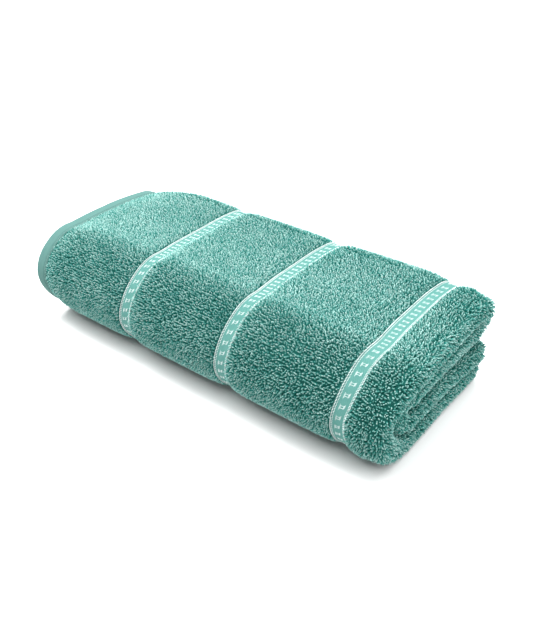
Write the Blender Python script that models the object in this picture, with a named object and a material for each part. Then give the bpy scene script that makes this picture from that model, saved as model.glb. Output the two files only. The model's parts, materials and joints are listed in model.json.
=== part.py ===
"""Folded terry bath towel, modelled as it lies: cloth, hems, woven bands and hem stitching.

Frame: origin at the middle of the underside, +X along the fold towards the turned end, +Y to the
back, +Z up. The towel is folded in three along its length, then in four across its width. One
folded strip is three plies thick, and four strips lie on each other: bottom, inside, and the two
runs of the upper panel. Each region sweeps one (x, n) outline, where n is the depth below the
face that carries the woven bands.
"""

import math

import bmesh
import bpy
from mathutils import Vector

MM = 0.001

# The towel, flat: 1372 by 762 mm. These are the sizes it folds down to.
LENGTH = 464 * MM
WIDTH = 206 * MM
PITCH = 27 * MM          # from one folded strip to the next
GAP = 0.3 * MM           # clearance between plies and between pieces
PLY = 8.7 * MM           # one thickness of terry cloth, both piles included
STRIP = PITCH - GAP      # three plies and the clearances between them
HEIGHT = 4 * PITCH - GAP

HEM_WIDTH = 17 * MM
HEM_THICK = 4 * MM
STITCH_INSET = 2.6 * MM  # from the hem's inner edge to the stitching
STITCH_WIDTH = 0.9 * MM
STITCH_THICK = 0.5 * MM

BAND_WIDTH = 17 * MM
BAND_THICK = 1.9 * MM
GROOVE_DEPTH = 2.4 * MM  # how far a woven band lies below the pile
GROOVE_SLOPE = 0.6 * MM  # the pile leans back by this much on each side of a band
BAND_CENTRES = (-84 * MM, 51.5 * MM, 187 * MM)

LEFT = -LENGTH / 2
RIGHT = LENGTH / 2
BACK = WIDTH / 2
FRONT_RADIUS = HEIGHT / 2
FOLD_Y = -WIDTH / 2 + FRONT_RADIUS + GAP / 2   # where the flat strips meet the front folds
FOLD_Z = HEIGHT / 2                  # height of the front folds' axis
BACK_RADIUS = STRIP + GAP / 2
BACK_Y = BACK - BACK_RADIUS          # axis of the fold at the back of the upper panel
BACK_Z = HEIGHT - BACK_RADIUS
SELVEDGE_Y = BACK - 1.5 * MM         # where the free side edges end

TURN_RADIUS = STRIP / 2              # outside of the turn at the right end
SMALL_TURN_RADIUS = (2 * PLY + GAP) / 2
SMALL_TURN_X = LEFT + 2 * MM + SMALL_TURN_RADIUS
TURN_X = RIGHT - TURN_RADIUS
TUCKED_HEM_TIP = TURN_X
FRONT_STEPS = 14
BACK_STEPS = 10
TURN_STEPS = 8

TEAL = (0.235, 0.560, 0.505)
PALE_TEAL = (0.400, 0.700, 0.655)
HEM_TEAL = (0.300, 0.610, 0.560)
THREAD = (0.500, 0.770, 0.730)


def clear_scene():
    for obj in list(bpy.data.objects):
        bpy.data.objects.remove(obj, do_unlink=True)


def material(name, colour, roughness):
    mat = bpy.data.materials.new(name)
    mat.use_nodes = True
    shader = mat.node_tree.nodes["Principled BSDF"]
    shader.inputs["Base Color"].default_value = (*colour, 1)
    shader.inputs["Roughness"].default_value = roughness
    shader.inputs["Metallic"].default_value = 0
    mat.diffuse_color = (*colour, 1)
    return mat


def ribbon_arc(x, n, radius, start, end):
    """The ply's two faces round a turn at (x, n); 0 degrees is +X and 90 degrees is +n."""
    pairs = []
    for k in range(TURN_STEPS + 1):
        angle = math.radians(start + k * (end - start) / TURN_STEPS)
        c, s = math.cos(angle), math.sin(angle)
        inside = radius - PLY
        pairs.append(((x + radius * c, n + radius * s), (x + inside * c, n + inside * s)))
    return pairs


def cloth_ribbon():
    """The letter fold as pairs of points on the ply's two faces: outer ply, turn, lower ply,
    small turn, middle ply. Both faces are recessed where a band is woven."""
    start = LEFT + HEM_WIDTH + GAP
    pairs = [((start, 0), (start, PLY))]
    for centre in BAND_CENTRES:
        half = BAND_WIDTH / 2 + GAP
        low, high = GROOVE_DEPTH, PLY - GROOVE_DEPTH
        pairs.append(((centre - half - GROOVE_SLOPE, 0), (centre - half - GROOVE_SLOPE, PLY)))
        pairs.append(((centre - half, low), (centre - half, high)))
        pairs.append(((centre + half, low), (centre + half, high)))
        pairs.append(((centre + half + GROOVE_SLOPE, 0), (centre + half + GROOVE_SLOPE, PLY)))
    pairs += ribbon_arc(TURN_X, STRIP / 2, TURN_RADIUS, -90, 90)
    small = SMALL_TURN_RADIUS
    pairs += ribbon_arc(SMALL_TURN_X, STRIP - small, small, 90, 270)
    end = TUCKED_HEM_TIP - HEM_WIDTH - GAP
    pairs.append(((end, PLY + GAP), (end, 2 * PLY + GAP)))
    return pairs


def rectangle(x_low, width, n_low, thick):
    return [((x, n_low), (x, n_low + thick)) for x in (x_low, x_low + width)]


def ribbons():
    """Name ending, ribbon of point pairs, material slot: what every region is made of."""
    hem_low = (PLY - HEM_THICK) / 2
    inner_low = (STRIP - HEM_THICK) / 2
    stitch_x = LEFT + HEM_WIDTH - STITCH_INSET
    stitch_low = hem_low - GAP - STITCH_THICK
    found = [
        ("cloth", cloth_ribbon(), "terry"),
        ("hem", rectangle(LEFT, HEM_WIDTH, hem_low, HEM_THICK), "hem"),
        ("hem_stitching", rectangle(stitch_x, STITCH_WIDTH, stitch_low, STITCH_THICK), "stitching"),
        ("tucked_hem", rectangle(TUCKED_HEM_TIP - HEM_WIDTH, HEM_WIDTH, inner_low, HEM_THICK), "hem"),
    ]
    for number, centre in enumerate(BAND_CENTRES, 1):
        low = GROOVE_DEPTH - GAP - BAND_THICK
        band = rectangle(centre - BAND_WIDTH / 2, BAND_WIDTH, low, BAND_THICK)
        found.append((f"band_{number}", band, "band"))
    return found


def flat(y, base, sign):
    """A station on a level strip: n is measured from the height base, up or down."""
    return lambda n: (y, base + sign * n)


def turned(y, z, base, sign, angle):
    """A station on a fold about (y, z); 0 degrees is +Y and 90 degrees is +Z."""
    c, s = math.cos(math.radians(angle)), math.sin(math.radians(angle))
    return lambda n: (y + (base + sign * n) * c, z + (base + sign * n) * s)


def fold_stations(y, z, base, sign, start, end, steps):
    turn = (end - start) / steps
    return [turned(y, z, base, sign, start + k * turn) for k in range(steps + 1)]


def regions():
    """Region name, body, and the stations that its ribbons are swept along."""
    behind, ahead = FOLD_Y + GAP / 2, FOLD_Y - GAP / 2
    bottom = [flat(behind, 0, 1), flat(SELVEDGE_Y, 0, 1)]
    inside = [flat(behind, FOLD_Z - GAP / 2, -1), flat(SELVEDGE_Y, FOLD_Z - GAP / 2, -1)]
    upper = [flat(behind, HEIGHT, -1)]
    upper += fold_stations(BACK_Y, BACK_Z, BACK_RADIUS, -1, 90, -90, BACK_STEPS)
    upper += [flat(behind, FOLD_Z + GAP / 2, 1)]
    outer = fold_stations(ahead, FOLD_Z, FRONT_RADIUS, -1, 90, 270, FRONT_STEPS)
    inner = fold_stations(ahead, FOLD_Z, GAP / 2, 1, 90, 270, FRONT_STEPS)
    return [
        ("bottom_panel", "lower_half", bottom),
        ("inside_panel", "lower_half", inside),
        ("front_fold", "lower_half", outer),
        ("inside_fold", "lower_half", inner),
        ("upper_panel", "upper_half", upper),
    ]


def swept(name, ribbon, stations, mat, parent):
    """One closed solid: the ribbon carried through the stations, with a cap at each end."""
    outline = [outer for outer, _ in ribbon] + [inner for _, inner in ribbon[::-1]]
    count = len(outline)
    verts, faces = [], []
    for station in stations:
        verts += [Vector((x, *station(n))) - parent.location for x, n in outline]
    for first in range(0, count * (len(stations) - 1), count):
        for k in range(count):
            after = (k + 1) % count
            faces.append((first + k, first + after, first + count + after, first + count + k))
    for first in (0, count * (len(stations) - 1)):
        for k in range(len(ribbon) - 1):
            faces.append((first + k, first + k + 1, first + count - 2 - k, first + count - 1 - k))
    mesh = bpy.data.meshes.new(name)
    mesh.from_pydata(verts, [], faces)
    bm = bmesh.new()
    bm.from_mesh(mesh)
    bmesh.ops.recalc_face_normals(bm, faces=bm.faces)
    bm.to_mesh(mesh)
    bm.free()
    mesh.materials.append(mat)
    obj = bpy.data.objects.new(name, mesh)
    bpy.context.collection.objects.link(obj)
    obj.parent = parent
    return obj


def body(name, location):
    empty = bpy.data.objects.new(name, None)
    bpy.context.collection.objects.link(empty)
    empty.location = location
    return empty


def main():
    clear_scene()
    slots = {
        "terry": (TEAL, 0.95),
        "band": (PALE_TEAL, 0.75),
        "hem": (HEM_TEAL, 0.8),
        "stitching": (THREAD, 0.7),
    }
    bodies = {
        "lower_half": body("lower_half", Vector((0, 0, 0))),
        "upper_half": body("upper_half", Vector((0, FOLD_Y, FOLD_Z))),
    }
    for region, body_name, stations in regions():
        for ending, ribbon, slot in ribbons():
            name = f"{region}_{ending}"
            mat = material(name, *slots[slot])
            swept(name, ribbon, stations, mat, bodies[body_name])


main()
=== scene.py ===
"""Looks of the folded terry bath towel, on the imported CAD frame.

The cloth is one ribbon: u runs along it from the visible hem, t runs across it along each region's
path, and h is the height off the middle of the ply, towards the face with the woven bands.
Ground cloth, loop pile, bands, hems and stitching are all placed through that one map.
Lengths are in metres, and MM turns a number of millimetres into metres.
"""

import json
import math

import bpy
import numpy as np
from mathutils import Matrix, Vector


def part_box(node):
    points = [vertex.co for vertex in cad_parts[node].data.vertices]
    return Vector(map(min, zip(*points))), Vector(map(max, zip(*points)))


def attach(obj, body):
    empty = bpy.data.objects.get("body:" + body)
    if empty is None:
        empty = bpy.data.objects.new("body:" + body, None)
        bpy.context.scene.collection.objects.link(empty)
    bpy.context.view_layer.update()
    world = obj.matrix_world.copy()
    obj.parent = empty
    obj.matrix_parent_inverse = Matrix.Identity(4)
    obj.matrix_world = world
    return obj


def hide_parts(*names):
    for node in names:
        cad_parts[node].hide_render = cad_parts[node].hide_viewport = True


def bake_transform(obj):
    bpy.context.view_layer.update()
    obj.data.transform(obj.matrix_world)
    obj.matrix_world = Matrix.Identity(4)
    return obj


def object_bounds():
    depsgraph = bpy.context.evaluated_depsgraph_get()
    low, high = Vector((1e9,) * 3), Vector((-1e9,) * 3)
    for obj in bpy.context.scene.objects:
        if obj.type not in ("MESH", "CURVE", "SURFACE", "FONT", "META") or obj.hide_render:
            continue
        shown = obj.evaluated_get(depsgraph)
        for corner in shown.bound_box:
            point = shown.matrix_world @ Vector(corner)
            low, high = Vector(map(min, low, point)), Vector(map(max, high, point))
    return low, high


MM = 0.001
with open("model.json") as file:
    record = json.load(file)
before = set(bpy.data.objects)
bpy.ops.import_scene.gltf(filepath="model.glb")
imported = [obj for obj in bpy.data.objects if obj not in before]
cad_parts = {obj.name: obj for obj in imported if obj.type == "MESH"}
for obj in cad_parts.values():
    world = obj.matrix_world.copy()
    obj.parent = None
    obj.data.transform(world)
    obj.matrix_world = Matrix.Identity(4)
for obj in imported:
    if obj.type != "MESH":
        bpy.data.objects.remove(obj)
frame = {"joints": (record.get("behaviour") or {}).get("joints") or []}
cad_low, cad_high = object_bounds()

# ---- sizes, from the CAD frame -------------------------------------------------------------
LEFT, RIGHT = cad_low.x, cad_high.x
HEIGHT = cad_high.z
BACK = cad_high.y
GAP = 0.3 * MM             # between touching plies
PLY = 8.7 * MM             # one ply with the pile on both faces
STRIP = (HEIGHT - 3 * GAP) / 4
AXIS = Vector(frame["joints"][0]["pos_m"])
FOLD_Y, FOLD_Z = AXIS.y, AXIS.z
FRONT_RADIUS = HEIGHT / 2
BACK_RADIUS = STRIP + GAP / 2
BACK_Y, BACK_Z = BACK - BACK_RADIUS, HEIGHT - BACK_RADIUS
SELVEDGE_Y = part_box("bottom_panel_cloth")[1][1]
HEM_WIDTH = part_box("upper_panel_hem")[1][0] - LEFT
BAND_CENTRES = [sum(p[0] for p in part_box(f"upper_panel_band_{k}")) / 2 for k in (1, 2, 3)]
BAND_WIDTH = 17 * MM
TURN_RADIUS = STRIP / 2
TURN_X = RIGHT - TURN_RADIUS
TUCK_INSET = 2 * MM        # of the small turn inside the left end
SMALL_RADIUS = PLY + GAP / 2
SMALL_X = LEFT + TUCK_INSET + SMALL_RADIUS
SMALL_N = STRIP - SMALL_RADIUS
TURN_MID, SMALL_MID = TURN_RADIUS - PLY / 2, SMALL_RADIUS - PLY / 2

# Runs of the ribbon: outer ply, turn, lower ply, small turn, middle ply.
RUNS = np.cumsum([0, TURN_X - LEFT, math.pi * TURN_MID, TURN_X - SMALL_X,
                  math.pi * SMALL_MID, TURN_X - SMALL_X])
LENGTH = RUNS[-1]
LOBE = 0.62                # under 1, it fills out the corners of the turned end's lobes
GROUND = 1.2 * MM          # half the thickness of the woven ground
PILE = 3.3 * MM            # height of the loops over the ground
FLOOR_CLEAR = 0.6 * MM     # lowest that the middle of a yarn lies over the floor
SELVEDGE = 3.4 * MM        # width of the bare edge at the side of the cloth

# Each region of the cloth, with the length of its middle path.
FLAT = BACK_Y - FOLD_Y
REGIONS = {
    "upper_panel": 2 * FLAT + math.pi * (BACK_RADIUS - STRIP / 2),
    "front_fold": math.pi * (FRONT_RADIUS - STRIP / 2),
    "inside_fold": math.pi * (GAP / 2 + STRIP / 2),
    "inside_panel": SELVEDGE_Y - FOLD_Y,
    "bottom_panel": SELVEDGE_Y - FOLD_Y,
}
FOLDS = ("front_fold", "inside_fold")
EDGED = ("bottom_panel", "inside_panel")    # the regions that end at a side edge of the cloth

# How the outer ply swells between its bands.
SWELL = 2.1 * MM
HEM_RISE, BAND_RISE, BAND_FALL = 14 * MM, 5 * MM, 9 * MM
PAST_END = 30 * MM         # the last swelling runs on round the turned end
SWELL_EASE = 12 * MM

# How the stack has settled. Amounts are in mm, and a level is a share of the stack's height.
FIRM_BELOW = 0.35          # the top's rise and the bands' wander fade out down to this level
ENDS = (150 * MM, 80 * MM)          # where each part begins, and over what length
FRONT = (12 * MM, 80 * MM)
REAR = (20 * MM, 75 * MM)
TILT_PIVOT = 11 * MM
TILT, CROWN = 6.1, 1.4              # the top rises towards the back
FRONT_LIFT = 2.2
HOLLOW = (2.7, 30 * MM, 45 * MM)    # amount, middle and width
SHOULDER = (1.3, -50 * MM, 22 * MM)
LEFT_DROOP, RIGHT_DROOP, LEFT_BACK_DROOP = 5.5, 4.5, 8.5
STRIP_LEVELS = (0, 0.25, 0.5, 0.75, 1)
STRIP_SHIFTS = (0, -0.9, -3.3, 1.0, 0)      # up or down, where the strips meet
OPENING = (60 * MM, 170 * MM)       # where the strips part towards the right end
LOBE_WAVE = 4.0
CLOSED = 0.25              # share of the strips' shifts that is there at the closed end
TOP_RIPPLE, END_RIPPLE, BACK_RIPPLE, FRONT_RIPPLE = 1.2, 1.2, 1.2, 0.8
FOOT = 1.3                 # the foot of an end reaches up to 1 / FOOT of the height
NOTCHES = ((2.2, 0.54, 0.08), (-1.8, 0.27, 0.07), (-1.0, 0.80, 0.07))   # amount, level, width
BACK_LOBE = (3.4, 0.38, 0.13)
BAND_BOW = (3.5, -45 * MM, 35 * MM)         # the bands bow along the towel as they cross it
BAND_BEND = (3.6, 55 * MM, 40 * MM)         # amount, start and length
BAND_SWING = (4.2, 30 * MM, 65 * MM)
RIGHT_TOP, RIGHT_FOOT = 2.6, 1.2
LEFT_TOP, LEFT_FOOT = 9.4, 9.0
ROUNDING, RIGHT_ROUNDING, LEFT_ROUNDING = 13.0, 1.5, 1.4    # the front's upper edge rolls back


# ---- the cloth map -------------------------------------------------------------------------
def smooth(t):
    t = np.clip(t, 0, 1)
    return t * t * (3 - 2 * t)


def ease(value, start, over):
    """0 up to start, then smoothly to 1."""
    return smooth((value - start) / over)


def bump(value, middle, width):
    return np.exp(-(((value - middle) / width) ** 2))


def pillow(x):
    """How far the outer ply swells between its bands, from 0 at a band or the hem."""
    edges = [LEFT + HEM_WIDTH]
    for c in BAND_CENTRES:
        edges += [c - BAND_WIDTH / 2, c + BAND_WIDTH / 2]
    edges.append(RIGHT + PAST_END)
    swell = np.zeros_like(x)
    for a, b in zip(edges[::2], edges[1::2]):
        inside = (x > a) & (x < b)
        rise = 1 - np.exp(-np.maximum(x - a, 0) / (BAND_RISE if a > edges[0] else HEM_RISE))
        fall = 1 - np.exp(-np.maximum(b - x, 0) / BAND_FALL)
        swell = np.where(inside, SWELL * rise * fall, swell)
    return swell


def ribbon(u, h):
    """(x, n) of the cloth at u along and h off its middle."""
    u, h = np.broadcast_arrays(np.asarray(u, float), np.asarray(h, float))
    turn = (u - RUNS[1]) / TURN_MID
    small = (u - RUNS[3]) / SMALL_MID
    x = LEFT + u
    lift = pillow(x) * smooth((RUNS[1] - u) / SWELL_EASE)
    n = PLY / 2 - h - lift
    on = u > RUNS[1]
    c, s = np.cos(turn), np.clip(np.sin(turn), 0, 1)
    x = np.where(on, TURN_X + (TURN_MID + h) * s**LOBE, x)
    n = np.where(on, STRIP / 2 - (TURN_MID + h) * np.sign(c) * np.abs(c) ** LOBE, n)
    on = u > RUNS[2]
    x = np.where(on, TURN_X - (u - RUNS[2]), x)
    n = np.where(on, STRIP - PLY / 2 + h, n)
    on = u > RUNS[3]
    x = np.where(on, SMALL_X - (SMALL_MID + h) * np.sin(small), x)
    n = np.where(on, SMALL_N + (SMALL_MID + h) * np.cos(small), n)
    on = u > RUNS[4]
    x = np.where(on, SMALL_X + (u - RUNS[4]), x)
    n = np.where(on, SMALL_N - SMALL_MID - h, n)
    return x, n


def across(region, t, n):
    """(y, z) at t along the region's middle path and depth n below the outer face."""
    if region == "bottom_panel":
        return FOLD_Y + t, n + 0 * t
    if region == "inside_panel":
        return FOLD_Y + t, FOLD_Z - GAP / 2 - n + 0 * t
    if region in FOLDS:
        angle = math.pi / 2 + math.pi * t / REGIONS[region]
        r = FRONT_RADIUS - n if region == "front_fold" else GAP / 2 + n
        return FOLD_Y + r * np.cos(angle), FOLD_Z + r * np.sin(angle)
    arc = REGIONS[region] - 2 * FLAT
    angle = math.pi / 2 - math.pi * np.clip((t - FLAT) / arc, 0, 1)
    r = BACK_RADIUS - n
    run = np.where(t < FLAT, t - FLAT, np.minimum(FLAT + arc - t, 0))
    return BACK_Y + run + r * np.cos(angle), BACK_Z + r * np.sin(angle)


def waves(x, y, z, seed, count=5, lowest=9.0, highest=30.0):
    """A gentle unevenness between -1 and 1, from a few long waves. The limits are in radians a metre."""
    rng = np.random.default_rng(seed)
    total = np.zeros(np.broadcast(x, y, z).shape)
    for _ in range(count):
        k = rng.normal(size=3)
        k *= rng.uniform(lowest, highest) / np.linalg.norm(k)
        total += np.sin(k[0] * x + k[1] * y + k[2] * z + rng.uniform(0, 6.28))
    return total / count


def settle(x, y, z):
    """The stack as it lies: eased shoulders, drooping ends, uneven lobes, bands that wander a little."""
    level = z / HEIGHT
    upper = ease(level, FIRM_BELOW, 1 - FIRM_BELOW)
    left, right = ease(-x, *ENDS), ease(x, *ENDS)
    front, back = ease(-y, *FRONT), ease(y, *REAR)

    tilt = (y - TILT_PIVOT) / BACK
    rise = TILT * tilt + CROWN * tilt**2 + FRONT_LIFT * front
    for amount, middle, width in (HOLLOW, SHOULDER):
        rise = rise - amount * bump(y, middle, width)
    rise = rise - LEFT_DROOP * left - RIGHT_DROOP * right - LEFT_BACK_DROOP * left * back
    rise = rise + TOP_RIPPLE * waves(x, y, 0 * z, seed=3)
    lobes = np.interp(level, STRIP_LEVELS, STRIP_SHIFTS)
    creases = waves(0 * x, y, z, seed=9, lowest=22, highest=75)
    lobes = lobes + LOBE_WAVE * right * np.sin(math.pi * level) * creases
    z2 = z + MM * upper * rise + MM * (CLOSED + (1 - CLOSED) * ease(x, *OPENING)) * lobes

    wander = BAND_BOW[0] * bump(y, *BAND_BOW[1:]) + BAND_BEND[0] * ease(y, *BAND_BEND[1:])
    wander = wander + BAND_SWING[0] * (1 - left) * (1 - right) * ease(y, *BAND_SWING[1:])
    top, foot = smooth(level), 1 - smooth(level * FOOT)
    end = RIGHT_TOP * top - RIGHT_FOOT * foot + BACK_LOBE[0] * back * bump(level, *BACK_LOBE[1:])
    for amount, middle, width in NOTCHES:
        end = end - amount * bump(level, middle, width)
    x2 = x + MM * (upper * wander + right * end - left * (LEFT_TOP * top - LEFT_FOOT * foot))
    ripple = waves(0 * x, y, z, seed=5, count=4, lowest=20, highest=60)
    x2 = x2 + END_RIPPLE * MM * (left + right) * ripple

    y2 = y + MM * front * (ROUNDING * upper - RIGHT_ROUNDING * right - LEFT_ROUNDING * left)
    ripple = waves(x, 0 * y, z, seed=7, lowest=12, highest=40)
    y2 = y2 + MM * (BACK_RIPPLE * back + FRONT_RIPPLE * front) * ripple
    return x2, y2, np.maximum(z2, z * 0.4)


def cloth(region, u, t, h):
    """World points of the cloth, with x, y and z along the last axis."""
    u, t, h = np.broadcast_arrays(np.asarray(u, float), np.asarray(t, float), np.asarray(h, float))
    x, n = ribbon(u, h)
    y, z = across(region, t, n)
    return np.stack(settle(x, y, z), -1)


def unit(vectors):
    return vectors / np.maximum(np.linalg.norm(vectors, axis=-1, keepdims=True), 1e-12)


def frames(region, u, t, h):
    """Points with unit tangents along u and t, and the outward normal."""
    step = 0.4 * MM
    p = cloth(region, u, t, h)
    du = unit(cloth(region, u + step, t, h) - cloth(region, u - step, t, h))
    dt = cloth(region, u, t + step, h) - cloth(region, u, t - step, h)
    out = cloth(region, u, t, h + step) - p
    n = unit(np.cross(du, dt))
    n *= np.where((n * out).sum(-1, keepdims=True) < 0, -1, 1)
    return p, du, np.cross(n, du), n


# ---- meshes --------------------------------------------------------------------------------
def new_mesh(name, verts, quads, mat):
    mesh = bpy.data.meshes.new(name)
    mesh.vertices.add(len(verts))
    mesh.vertices.foreach_set("co", np.asarray(verts, np.float32).ravel())
    mesh.loops.add(quads.size)
    mesh.loops.foreach_set("vertex_index", quads.astype(np.int32).ravel())
    mesh.polygons.add(len(quads))
    mesh.polygons.foreach_set("loop_start", np.arange(0, quads.size, 4, dtype=np.int32))
    mesh.polygons.foreach_set("use_smooth", np.full(len(quads), True))
    mesh.update(calc_edges=True)
    mesh.materials.append(mat)
    obj = bpy.data.objects.new(name, mesh)
    bpy.context.collection.objects.link(obj)
    return obj


def crisp(obj):
    """Keeps the edges of a strip sharp and shades the rest smooth."""
    obj.data.set_sharp_from_angle(angle=math.radians(50))


def values(obj, name, data):
    attribute = obj.data.attributes.new(name, "FLOAT", "POINT")
    attribute.data.foreach_set("value", np.asarray(data, np.float32))


def bake_map(obj, uv_by_vertex, quads):
    """The cloth's own coordinates as the map that colours are baked through."""
    layer = obj.data.uv_layers.new(name="OFBake")
    layer.uv.foreach_set("vector", uv_by_vertex[quads.ravel()].astype(np.float32).ravel())


def place(obj, region, replaced=()):
    """Rides on its half; a piece on the towel's last fold stays fixed in place, on neither half.
    """
    if region in FOLDS:
        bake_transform(obj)
    else:
        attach(obj, "upper_half" if region == "upper_panel" else "lower_half")
    if replaced:
        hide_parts(*replaced)
    return obj


def turned_share(region, t):
    """How far round the last fold a point is: 0 at the lower half and 1 at the upper half."""
    if region not in FOLDS:
        return np.zeros(np.shape(t))
    return 1 - np.clip(t / REGIONS[region], 0, 1)


def grid_quads(rows, cols, first=0):
    a = first + np.arange(rows - 1)[:, None] * cols + np.arange(cols - 1)[None]
    return np.stack([a, a + 1, a + cols + 1, a + cols], -1).reshape(-1, 4)


def slab(name, region, us, ts, top, bottom, mat):
    """A closed strip of cloth between two heights (numbers, or functions of u)."""
    rows, cols = len(us), len(ts)
    u, t = np.meshgrid(us, ts, indexing="ij")
    verts = [cloth(region, u, t, h(u) if callable(h) else h).reshape(-1, 3) for h in (top, bottom)]
    half = rows * cols
    quads = [grid_quads(rows, cols), grid_quads(rows, cols, half)[:, ::-1]]
    k = np.arange(half).reshape(rows, cols)
    rim = np.concatenate([k[:, 0], k[-1, 1:], k[-2::-1, -1], k[0, -2:0:-1]])
    ahead = np.roll(rim, -1)
    quads.append(np.stack([rim, rim + half, ahead + half, ahead], -1)[:, ::-1])
    obj = new_mesh(name, np.concatenate(verts), np.concatenate(quads), mat)
    crisp(obj)
    return obj, np.tile(turned_share(region, t).ravel(), 2)


# ---- materials -----------------------------------------------------------------------------
class Nodes:
    """A small helper for building one material's tree."""

    def __init__(self, name, roughness, sheen=0.0):
        self.mat = bpy.data.materials.new(name)
        self.mat.use_nodes = True
        self.tree = self.mat.node_tree
        self.shader = self.tree.nodes["Principled BSDF"]
        self.shader.inputs["Roughness"].default_value = roughness
        self.shader.inputs["Specular IOR Level"].default_value = 0.09
        self.shader.inputs["Sheen Weight"].default_value = sheen
        self.shader.inputs["Sheen Roughness"].default_value = 0.45
        self.place = self.tree.nodes.new("ShaderNodeTexCoord").outputs["Object"]

    def link(self, source, target):
        self.tree.links.new(source, target)

    def fill(self, socket, value):
        """Links a socket's value from another node, or sets it to a number."""
        if hasattr(value, "is_output"):
            self.link(value, socket)
        else:
            socket.default_value = value

    def math(self, operation, *terms):
        made = self.tree.nodes.new("ShaderNodeMath")
        made.operation = operation
        for socket, value in zip(made.inputs, terms):
            self.fill(socket, value)
        return made.outputs[0]

    def scaled(self, value, by, plus=0.0):
        return self.math("MULTIPLY_ADD", value, by, plus)

    def attribute(self, name):
        made = self.tree.nodes.new("ShaderNodeAttribute")
        made.attribute_name = name
        return made.outputs["Fac"]

    def noise(self, scale, detail=2.0):
        made = self.tree.nodes.new("ShaderNodeTexNoise")
        made.inputs["Scale"].default_value = scale
        made.inputs["Detail"].default_value = detail
        self.link(self.place, made.inputs["Vector"])
        return made.outputs["Fac"]

    def ramp(self, factor, stops):
        made = self.tree.nodes.new("ShaderNodeValToRGB")
        ramp = made.color_ramp
        while len(ramp.elements) < len(stops):
            ramp.elements.new(0.5)
        for element, (at, colour) in zip(ramp.elements, stops):
            element.position = at
            element.color = (*colour, 1)
        self.link(factor, made.inputs["Fac"])
        return made.outputs["Color"]

    def bump(self, height, strength, distance):
        made = self.tree.nodes.new("ShaderNodeBump")
        made.inputs["Strength"].default_value = strength
        made.inputs["Distance"].default_value = distance
        self.link(height, made.inputs["Height"])
        self.link(made.outputs["Normal"], self.shader.inputs["Normal"])

    def colour(self, socket):
        self.link(socket, self.shader.inputs["Base Color"])


# Teals of the pile, from the foot of a loop to its tip: the darkest is painted shade at the foot, the
# palest a painted highlight at the tip.
PAINTED_SHADE_TEAL = (0.002, 0.078, 0.062)
MID = (0.023, 0.240, 0.203)
LIGHT = (0.246, 0.474, 0.437)
PAINTED_HIGHLIGHT_TEAL = (0.365, 0.572, 0.540)
# Pairs of colours, each a darker and a lighter one.
GROUND_TEALS = ((0.025, 0.160, 0.135), (0.085, 0.235, 0.212))
BAND_TEALS = ((0.050, 0.175, 0.153), (0.112, 0.272, 0.245))
HEM_TEALS = ((0.058, 0.145, 0.131), (0.090, 0.188, 0.172))
FIGURE_WHITES = ((0.42, 0.52, 0.505), (0.70, 0.78, 0.77))
STITCH_TEALS = ((0.09, 0.20, 0.18), (0.16, 0.28, 0.26))
FLOOR_GREYS = ((0.77, 0.77, 0.77), (0.79, 0.79, 0.79))


def pile_material():
    """Painted shade at the foot of a loop and a painted highlight at its tip, with every yarn and every
    patch a little different.
    """
    m = Nodes("terry_loops", roughness=0.9, sheen=0.04)
    by_yarn = m.scaled(m.attribute("yarn"), by=0.50, plus=-0.25)
    by_patch = m.scaled(m.noise(scale=22, detail=3), by=0.36, plus=-0.18)
    # the share up the loop paints shade at its foot and a highlight at its tip; yarn and patch add random
    # tone
    painted_shade_and_tone = m.math("ADD", m.attribute("painted_shade_to_highlight"), m.math("ADD", by_yarn, by_patch))
    m.colour(m.ramp(painted_shade_and_tone, [(0.0, PAINTED_SHADE_TEAL), (0.42, MID), (0.92, LIGHT), (1.0, PAINTED_HIGHLIGHT_TEAL)]))
    m.bump(m.noise(scale=2600), strength=0.35, distance=0.2 * MM)
    return m.mat


def ground_material():
    """The woven ground between the loops, dark with painted shade except along the bare selvedge."""
    m = Nodes("terry_ground", roughness=0.95, sheen=0.1)
    uneven = m.math("ADD", m.scaled(m.noise(scale=900), by=0.4), m.scaled(m.noise(scale=30), by=0.2))
    # painted shade: the ground under the loops is darkened, the bare selvedge is left lighter; the noise is
    # random unevenness
    shade = m.math("MULTIPLY_ADD", m.attribute("selvedge"), 0.4, uneven)
    m.colour(m.ramp(shade, [(0.2, PAINTED_SHADE_TEAL), (0.4, GROUND_TEALS[0]), (0.8, GROUND_TEALS[1])]))
    m.bump(m.noise(scale=1400), strength=0.8, distance=0.6 * MM)
    return m.mat


def weave_material(name, teals, step, slant=1.0):
    """A flat weave: fine ribs on the slant, with painted shade in their grooves and the yarn's own
    unevenness.
    """
    m = Nodes(name, roughness=0.8, sheen=0.03)
    u, t = m.attribute("along"), m.attribute("cross")
    cut_step = step * 1.3
    rib = m.math("SINE", m.math("MULTIPLY", m.math("MULTIPLY_ADD", u, slant, t), 6.2832 / step))
    cut = m.math("SINE", m.math("MULTIPLY", m.math("MULTIPLY_ADD", t, -slant, u), 6.2832 / cut_step))
    height = m.math("ADD", m.scaled(rib, by=0.5), m.scaled(cut, by=0.3))
    uneven = m.scaled(m.noise(scale=160, detail=3), by=0.5, plus=-0.25)
    # lighter on the ribs and darker in the grooves between them: painted shade from the weave's relief
    shade = m.math("ADD", m.scaled(height, by=0.3, plus=0.5), uneven)
    m.colour(m.ramp(shade, [(0.1, teals[0]), (0.9, teals[1])]))
    m.bump(height, strength=0.5, distance=0.25 * MM)
    return m.mat


def thread_material(name, colours):
    m = Nodes(name, roughness=0.65, sheen=0.2)
    shade = m.math("ADD", m.attribute("yarn"), m.scaled(m.noise(scale=900), by=0.4, plus=-0.2))
    m.colour(m.ramp(shade, [(0.0, colours[0]), (1.0, colours[1])]))
    m.bump(m.noise(scale=3000), strength=0.3, distance=0.1 * MM)
    return m.mat


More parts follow.
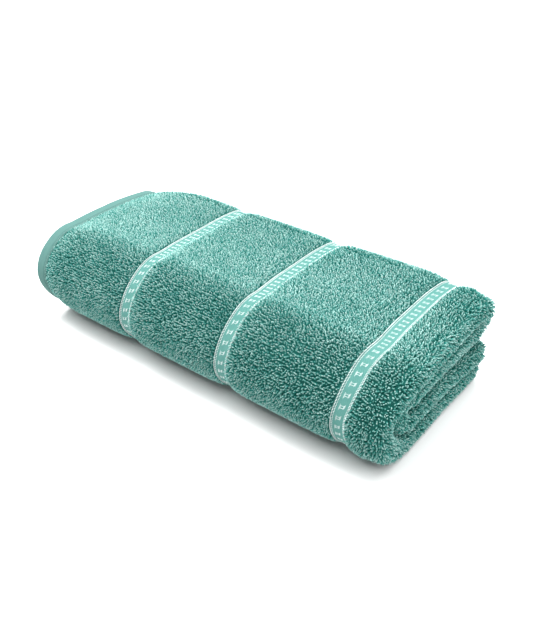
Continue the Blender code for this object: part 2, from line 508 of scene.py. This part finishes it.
PILE_MAT = pile_material()
GROUND_MAT = ground_material()
BAND_MAT = weave_material("band_weave", BAND_TEALS, step=1.5 * MM)
HEM_MAT = weave_material("hem_weave", HEM_TEALS, step=1.1 * MM, slant=0.0)
WHITE_MAT = thread_material("figure_thread", FIGURE_WHITES)
STITCH_MAT = thread_material("sewing_thread", STITCH_TEALS)


# ---- yarns: loops, figure threads and stitches ---------------------------------------------
def tubes(name, lines, side, radius, sides, mat, yarn, painted_shade_to_highlight=None):
    """Many short yarns as one mesh. lines is (yarns, points, 3), side a rough sideways vector."""
    count, points = lines.shape[:2]
    along = unit(np.gradient(lines, axis=1))
    side = unit(side[:, None] - (side[:, None] * along).sum(2, keepdims=True) * along)
    other = np.cross(along, side)
    angle = (np.arange(sides) + 0.5) * 2 * math.pi / sides
    ring = np.cos(angle)[:, None] * side[:, :, None] + np.sin(angle)[:, None] * other[:, :, None]
    verts = lines[:, :, None] + ring * radius[:, :, None, None]
    base = (np.arange(count)[:, None, None] * points + np.arange(points - 1)[None, :, None]) * sides
    k = np.arange(sides)
    after = (k + 1) % sides
    quads = np.stack([base + k, base + after, base + sides + after, base + sides + k], -1)
    quads = quads.reshape(-1, 4)
    obj = new_mesh(name, verts.reshape(-1, 3), quads, mat)
    values(obj, "yarn", np.repeat(yarn, points * sides))
    # the share up each loop, which sets the pile's painted shade at the foot and painted highlight at the
    # tip
    if painted_shade_to_highlight is not None:
        values(obj, "painted_shade_to_highlight", np.repeat(painted_shade_to_highlight.ravel(), sides))
    return obj, quads, verts


def scatter(u0, u1, t0, t1, face, spacing, rng, keep=None, loose=0.3):
    """Rows of feet over part of the cloth, a little out of line. Returns u, t and the face, 1 or -1."""
    rows = max(1, round((u1 - u0) / spacing))
    cols = max(1, round((t1 - t0) / spacing))
    u, t = np.meshgrid((np.arange(rows) + 0.5) / rows, (np.arange(cols) + 0.5) / cols, indexing="ij")
    staggered = loose * 0.8 * (-1) ** np.arange(cols)[None]
    u = u + (rng.uniform(-loose, loose, u.shape) + staggered) / rows
    t = t + rng.uniform(-0.32, 0.32, t.shape) / cols
    u, t = u0 + u.ravel() * (u1 - u0), t0 + t.ravel() * (t1 - t0)
    if keep is not None:
        kept = keep(u)
        u, t = u[kept], t[kept]
    return u, t, np.full(len(u), float(face))


def off_bands(u):
    x = LEFT + u
    clear = x > LEFT + HEM_WIDTH + 0.6 * MM
    for c in BAND_CENTRES:
        clear &= np.abs(x - c) > BAND_WIDTH / 2 + 0.5 * MM
    return clear | (u > RUNS[1])


LOOP_SIDES = 4
LOOP_SEGMENTS = 4
FOOT_DEPTH = 0.4 * MM               # a loop starts this far inside the ground
UNEVEN = 0.08                       # spread of the loops' heights
LEAN, MOST_LEAN, CURL = 0.8, 1.8, 0.35      # in mm
SHAG_HEIGHT, SHAG_LEAN = 0.12, 0.5  # more of each in the turned end's looser pile
FLATTENED = 0.55                    # height of the loops pressed together inside the last fold
SHORTER_BY_HEM = 0.55
HALF_SPAN = (0.35, 0.75)            # of a loop, from foot to foot, in mm
LOOP_RADIUS = (0.38, 0.47)          # of a loop's yarn, in mm
SHAG_EASE = 25 * MM
HEM_REACH = 13 * MM                 # the pile is shorter this near to the hem
LEAN_REACH = 3.5 * MM
LEANS = (4.2 * MM, 3.4 * MM, 1.2 * MM)   # how far the pile falls over each band's right edge


def band_lean(u, lean, du):
    """The lean of the loops, with those just right of a band falling over its edge."""
    x = LEFT + u
    for c, over in zip(BAND_CENTRES, LEANS):
        beyond = x - (c + BAND_WIDTH / 2)
        close = (beyond > -1 * MM) & (u < RUNS[1])
        near = np.where(close, np.exp(-np.maximum(beyond, 0) / LEAN_REACH), 0)
        lean = lean * (1 - 0.6 * near[:, None]) - du * (over * near)[:, None]
    return lean


def pile(name, region, spots, rng):
    """Loops of yarn standing on the ground at the given feet."""
    u, t, face = (np.concatenate(part) for part in zip(*spots))
    count = len(u)
    p, du, dt, n = frames(region, u, t, face * GROUND * 0.6)
    n = n * face[:, None]
    turn = rng.uniform(0, 2 * math.pi, count)
    a = du * np.cos(turn)[:, None] + dt * np.sin(turn)[:, None]
    b = np.cross(n, a)
    span = rng.uniform(*HALF_SPAN, count) * MM
    height = PILE * rng.normal(1.0, UNEVEN, count).clip(0.75, 1.25) + FOOT_DEPTH
    lean_dir = rng.uniform(0, 2 * math.pi, count)
    shag = smooth((u - RUNS[1] + SHAG_EASE) / SHAG_EASE)
    height = height * (1 + SHAG_HEIGHT * shag * rng.uniform(0, 1, count))
    lean_by = np.abs(rng.normal(0, LEAN, count)).clip(0, MOST_LEAN) * (1 + SHAG_LEAN * shag) * MM
    height = height * (1 - SHORTER_BY_HEM * (face > 0) * bump(u, HEM_WIDTH, HEM_REACH))
    if region == "inside_fold":
        height = height * FLATTENED
    lean = (du * np.cos(lean_dir)[:, None] + dt * np.sin(lean_dir)[:, None]) * lean_by[:, None]
    lean = band_lean(u, lean, du)
    s = np.linspace(0, 1, LOOP_SEGMENTS + 1)
    rise = np.sin(math.pi * s)
    lines = (p[:, None] + a[:, None] * (span[:, None] * np.cos(math.pi * s))[..., None]
             + n[:, None] * (height[:, None] * rise**0.8)[..., None]
             + lean[:, None] * (rise**1.5)[None, :, None])
    curl = rng.normal(0, CURL, (count, 1)) * MM * np.sin(2 * math.pi * s)[None]
    lines += b[:, None] * curl[..., None]
    lines[..., 2] = np.maximum(lines[..., 2], FLOOR_CLEAR)
    radius = rng.uniform(*LOOP_RADIUS, count)[:, None] * MM * (0.85 + 0.15 * rise)[None]
    # 0 at the foot, near 1 at the top of a loop: painted shade low down, a painted highlight at the tip
    painted_shade_to_highlight = np.repeat((0.08 + 0.84 * rise**1.2)[None], count, 0)
    yarn = rng.uniform(0, 1, count)
    obj, quads, verts = tubes(name, lines, b, radius, LOOP_SIDES, PILE_MAT, yarn, painted_shade_to_highlight)
    off = verts - p[:, None, None]
    uv = np.stack([(u[:, None, None] + (off * du[:, None, None]).sum(-1)) / LENGTH,
                   (t[:, None, None] + (off * dt[:, None, None]).sum(-1)) / REGIONS[region]], -1)
    bake_map(obj, np.clip(uv, 0.001, 0.999).reshape(-1, 2), quads)
    return place(obj, region)


# ---- the pieces ----------------------------------------------------------------------------
def across_steps(region, step):
    return np.linspace(0, REGIONS[region], max(8, round(REGIONS[region] / step)) + 1)


def make_ground(region):
    """The woven ground as one folded ribbon, with a bare strip along the cloth's side edge."""
    lap = 1 * MM
    outer = np.arange(HEM_WIDTH - lap, RUNS[1], 2.5 * MM)
    turn = np.linspace(RUNS[1], RUNS[2], 11)
    lower = np.linspace(RUNS[2], RUNS[3], 60)[1:]
    small = np.linspace(RUNS[3], RUNS[4], 9)[1:]
    inner = np.linspace(RUNS[4], RUNS[5] - HEM_WIDTH + lap, 50)[1:]
    us = np.concatenate([outer, turn, lower, small, inner])
    ts = across_steps(region, 4 * MM)
    bare = np.zeros(len(ts))
    if region in EDGED:
        ts = np.sort(np.append(ts, REGIONS[region] - np.array([1.0, 2.6]) * MM))
        bare = smooth((ts - REGIONS[region] + SELVEDGE) / (1 * MM))
    obj, share = slab(f"{region}_ground", region, us, ts, GROUND, -GROUND, GROUND_MAT)
    values(obj, "selvedge", np.tile(bare, 2 * len(us)))
    return place(obj, region, [f"{region}_cloth"])


BAND_LAP = 0.8 * MM                # how far a band's ground reaches under the pile beside it
BAND_RAISED, BAND_EDGE_DROP = 1.2 * MM, 0.9 * MM


def make_band(region, number):
    """A flat-woven band: ribbed ground that stands a little over the terry's own ground."""
    centre = BAND_CENTRES[number - 1] - LEFT
    half = BAND_WIDTH / 2 + BAND_LAP
    us = centre + np.linspace(-half, half, 15)

    def top(u):
        edge = np.clip(np.abs(u - centre) / half, 0, 1)
        return GROUND + BAND_RAISED - BAND_EDGE_DROP * edge**6

    ts = across_steps(region, 2.0 * MM)
    obj, share = slab(f"{region}_band_{number}_weave", region, us, ts, top, 0.0, BAND_MAT)
    u, t = np.meshgrid(us, ts, indexing="ij")
    values(obj, "along", np.tile(u.ravel(), 2))
    values(obj, "cross", np.tile(t.ravel(), 2))
    return place(obj, region, [f"{region}_band_{number}"])


YARN_SIDES = 6
FLOAT_ARCH = 0.30 * MM
FIGURE_WAY = {"front_fold": -1}    # so that the figure runs on from the upper panel
CORD_STEP = 2.1                    # from float to float of the edge cords, in mm
FIGURE_STEP = 7.7                  # from figure to figure, in mm
OUTSIDE = 6.0                      # floats farther from the band's middle lie higher, in mm
RAISED = (1.05, 1.75, 1.35)        # over the ground: within OUTSIDE, right of it, left of it, in mm
# Edge cords: distance from the band's middle in mm, lag as a share of a step, radius in mm.
CORDS = ((-7.5, 0, 0.46), (-5.8, 0.5, 0.27), (5.8, 0, 0.29), (7.3, 0.5, 0.46))
# The figure's floats in mm: u at both ends, t at both ends, radius.
FIGURE = (
    (-2.45, -2.45, -2.6, 1.6, 0.21), (-1.75, -1.75, -1.8, 0.9, 0.20),
    (-2.1, 1.6, -0.9, -0.6, 0.18), (-2.1, 1.6, 0.6, 0.9, 0.18),
    (1.6, 1.6, -1.2, 1.5, 0.29), (2.35, 2.35, -0.6, 2.2, 0.26),
)


def figure_floats(width, start):
    """Every float of a band: u at both ends off the band's middle, t at both ends, radius."""
    floats = []
    steps = np.arange(-math.ceil(width / (CORD_STEP * MM)), math.ceil(width / (CORD_STEP * MM)))
    for at, lag, thick in CORDS:
        first = (steps + lag) * CORD_STEP
        floats.append((at - 0.3, at + 0.3, first, first + CORD_STEP * 0.92, thick))
    most = math.ceil(width / (FIGURE_STEP * MM)) + 1
    first = (np.arange(-most, most) + start) * FIGURE_STEP
    for u0, u1, t0, t1, thick in FIGURE:
        floats.append((u0, u1, first + t0, first + t1, thick))
    return floats


def make_figure(region, number, rng):
    """The pale figure threads of a band, as short floats over the ground."""
    centre = BAND_CENTRES[number - 1] - LEFT
    width = REGIONS[region]
    s = np.linspace(0, 1, 5)
    us, ts, thick = [], [], []
    for u0, u1, t0, t1, radius in figure_floats(width, number / 3):
        us.append(centre + MM * (u0 + (u1 - u0) * s[None] + 0 * t0[:, None]))
        ts.append(MM * FIGURE_WAY.get(region, 1) * (t0[:, None] + (t1 - t0)[:, None] * s[None]))
        thick.append(np.full(len(t0), radius * MM))
    u, t, thick = (np.concatenate(part) for part in (us, ts, thick))
    kept = (t[:, 2] > 0) & (t[:, 2] < width)
    u, t, thick = u[kept], t[kept], thick[kept]
    off = u[:, 2] - centre
    raised = np.select([off > OUTSIDE * MM, off < -OUTSIDE * MM], RAISED[1:], RAISED[0])
    base = GROUND + raised[:, None] * MM
    lines = cloth(region, u, t, base + FLOAT_ARCH * np.sin(math.pi * s)[None])
    n = frames(region, u[:, 2], t[:, 2], GROUND)[3]
    radius = thick[:, None] * (0.75 + 0.25 * np.sin(math.pi * s))
    yarn = rng.uniform(0.2, 1, len(u))
    name = f"{region}_band_{number}_figure"
    obj = tubes(name, lines, n, radius, YARN_SIDES, WHITE_MAT, yarn)[0]
    return place(obj, region)


HEM_THICK = 4.2 * MM
HEM_STEPS = 33
ROUNDED = 0.16                     # share of the hem's width that its round outer edge takes
CHANNEL = ((0.70, 0.09), (0.88, 0.07))      # start and length of the channel's two slopes, as shares
CHANNEL_DEPTH = 0.42               # share of the hem's thickness that the stitching presses down


def hem_profile():
    """(u, h) along a folded hem: round outer edge, pressed flat along its stitching."""
    s = np.linspace(0, 1, HEM_STEPS)
    top = HEM_THICK / 2 * np.sqrt(np.clip(1 - (1 - s / ROUNDED).clip(0, 1) ** 2, 0, 1))
    channel = ease(s, *CHANNEL[0]) - ease(s, *CHANNEL[1])
    return s * HEM_WIDTH, top * (1 - CHANNEL_DEPTH * channel)


def make_hem(region, tucked):
    """The turned and sewn end of the cloth, as a closed ring of rows with a cap at each side."""
    u, h = hem_profile()
    us = LENGTH - u[::-1] if tucked else u
    top = h[::-1] if tucked else h
    ts = across_steps(region, 2.5 * MM)
    rows = np.concatenate([us, us[-2:0:-1]])
    heights = np.concatenate([top, -top[-2:0:-1]])
    count, cols = len(rows), len(ts)
    u, t = np.meshgrid(rows, ts, indexing="ij")
    verts = cloth(region, u, t, np.repeat(heights[:, None], cols, 1)).reshape(-1, 3)
    a = np.arange(count)[:, None] * cols + np.arange(cols - 1)[None]
    b = ((np.arange(count) + 1) % count)[:, None] * cols + np.arange(cols - 1)[None]
    quads = np.stack([a, a + 1, b + 1, b], -1).reshape(-1, 4)
    near = np.arange(count // 2)
    far = (count - near) % count
    caps = []
    for col in (0, cols - 1):
        face = np.stack([near, near + 1, count - near - 1, far], -1) * cols + col
        caps.append(face if col else face[:, ::-1])
    name = f"{region}_{'tucked_hem' if tucked else 'hem'}"
    obj = new_mesh(name + "_weave", verts, np.concatenate([quads, *caps]), HEM_MAT)
    crisp(obj)
    values(obj, "along", u.ravel())
    values(obj, "cross", t.ravel())
    return place(obj, region, [name])


STITCH_STEP = 3.0 * MM
STITCH_RADIUS = 0.24 * MM
STITCH_INSET = 2.4 * MM            # from the hem's inner edge
STITCH_HEIGHT, STITCH_ARCH = 1.40 * MM, 0.45 * MM


def make_stitching(region, rng):
    """A row of lockstitches near the hem's inner edge."""
    starts = np.arange(0.3 * STITCH_STEP, REGIONS[region] - STITCH_STEP * 0.4, STITCH_STEP)
    s = np.linspace(0, 1, 6)
    t = starts[:, None] + s[None] * STITCH_STEP * 0.82
    u = np.full(t.shape, HEM_WIDTH - STITCH_INSET)
    h = STITCH_HEIGHT + STITCH_ARCH * np.sin(math.pi * s)[None] + 0 * t
    lines = cloth(region, u, t, h)
    n = frames(region, u[:, 2], t[:, 2], h[:, 2])[3]
    radius = np.full(t.shape, STITCH_RADIUS)
    yarn = rng.uniform(0.2, 1, len(t))
    obj = tubes(f"{region}_hem_stitches", lines, n, radius, YARN_SIDES, STITCH_MAT, yarn)[0]
    return place(obj, region, [f"{region}_hem_stitching"])


# Distance between loops. The outer face shows most at the front and on top.
OUTER_SPACING = {"front_fold": 1.8 * MM, "upper_panel": 1.85 * MM, "bottom_panel": 3.0 * MM,
                 "inside_panel": 2.4 * MM, "inside_fold": 2.2 * MM}
UNDER_SPACING = 2.5 * MM
TURN_SPACING = 1.9 * MM
EDGE_SPACING = 2.3 * MM
TURN_LAP, SMALL_TURN_LAP = 12 * MM, 6 * MM  # how far the turned ends' pile runs on past the turns
EDGE_DEPTH = 14 * MM               # the covered plies have pile only this near to the side edge
EDGE_CLEAR, EDGE_TRIM = 3.5 * MM, 3 * MM    # loops keep off the bare selvedge


def make_pile(region, rng):
    """Loop pile where it shows: dense outside, lighter on the faces that only the open towel shows."""
    full = REGIONS[region]
    outer = OUTER_SPACING[region]
    spots = []
    if region == "upper_panel":
        edge = full - FLAT    # where the fold at the back ends
        spots.append(scatter(HEM_WIDTH, RUNS[1], 0, edge, 1, outer, rng, off_bands))
        spots.append(scatter(HEM_WIDTH, RUNS[1], edge, full, 1, UNDER_SPACING, rng, off_bands))
    else:
        spots.append(scatter(HEM_WIDTH, RUNS[1], 0, full, 1, outer, rng, off_bands))
    spots.append(scatter(RUNS[1], RUNS[2] + TURN_LAP, 0, full, 1, TURN_SPACING, rng, loose=0.2))
    spots.append(scatter(RUNS[3] - SMALL_TURN_LAP, RUNS[4] + SMALL_TURN_LAP, 0, full, 1, TURN_SPACING, rng))
    if region in EDGED:
        brink = full - EDGE_DEPTH
        for u0, u1, face in ((HEM_WIDTH, RUNS[1], -1), (RUNS[2], RUNS[3], 1), (RUNS[2], RUNS[3], -1),
                             (RUNS[4], RUNS[5] - HEM_WIDTH, 1), (RUNS[4], RUNS[5] - HEM_WIDTH, -1)):
            spots.append(scatter(u0, u1, brink, full - EDGE_CLEAR, face, EDGE_SPACING, rng))
        spots = [tuple(part[t < full - EDGE_TRIM] for part in (u, t, face)) for u, t, face in spots]
    return pile(f"{region}_pile", region, spots, rng)


def build():
    rng = np.random.default_rng(11)
    for region in REGIONS:
        parts = [make_pile(region, rng), make_hem(region, False), make_hem(region, True),
                 make_stitching(region, rng)]
        for number in (1, 2, 3):
            parts += [make_band(region, number), make_figure(region, number, rng)]
        ground = make_ground(region)


# ---- floor, light and camera ---------------------------------------------------------------
def floor():
    m = Nodes("floor_matte", roughness=0.9)
    m.colour(m.ramp(m.noise(scale=3), [(0.3, FLOOR_GREYS[0]), (0.7, FLOOR_GREYS[1])]))
    s, z = 6.0, -0.5 * MM
    mesh = bpy.data.meshes.new("floor")
    mesh.from_pydata([(-s, -s, z), (s, -s, z), (s, s, z), (-s, s, z)], [], [(0, 1, 2, 3)])
    mesh.materials.append(m.mat)
    obj = bpy.data.objects.new("floor", mesh)
    bpy.context.collection.objects.link(obj)


def area_light(name, location, target, size, power, shape="DISK"):
    data = bpy.data.lights.new(name, "AREA")
    data.shape = shape
    data.size = size
    data.energy = power
    obj = bpy.data.objects.new(name, data)
    bpy.context.collection.objects.link(obj)
    obj.location = location
    obj.rotation_euler = (Vector(target) - Vector(location)).to_track_quat("-Z", "Y").to_euler()


def lights():
    """A wide soft box overhead, a smaller key for the pile's grain, and two low fills."""
    world = bpy.data.worlds.new("studio")
    bpy.context.scene.world = world
    world.use_nodes = True
    back = world.node_tree.nodes["Background"]
    back.inputs["Color"].default_value = (1, 1, 1, 1)
    back.inputs["Strength"].default_value = 0.52
    towel = (0, 0, 0.05)
    area_light("overhead", (-0.5, 0.2, 2.2), (-0.5, 0.2, 0), size=4.0, power=176, shape="SQUARE")
    area_light("key", (-0.3, 0.15, 1.6), towel, size=0.8, power=9.5)
    area_light("side", (-0.75, -0.1, 0.95), towel, size=0.4, power=8)
    area_light("end", (1.1, 0.25, 0.55), (0.2, 0, 0.05), size=0.7, power=5)


def camera():
    data = bpy.data.cameras.new("camera")
    data.sensor_fit = "AUTO"
    data.sensor_width = 36
    data.lens = 41.079375
    data.clip_start, data.clip_end = 0.01, 50
    obj = bpy.data.objects.new("camera", data)
    bpy.context.collection.objects.link(obj)
    azimuth, elevation, distance = math.radians(38.76), math.radians(32.23), 0.7817
    target = Vector((0.0286, 0, 0.0427))
    away = Vector((math.cos(elevation) * math.sin(azimuth), -math.cos(elevation) * math.cos(azimuth),
                   math.sin(elevation)))
    obj.location = target + away * distance
    obj.rotation_euler = (-away).to_track_quat("-Z", "Y").to_euler()
    bpy.context.scene.camera = obj


build()
floor()
lights()
camera()
bpy.context.scene.view_settings.view_transform = "Standard"
bpy.context.scene.view_settings.look = "None"
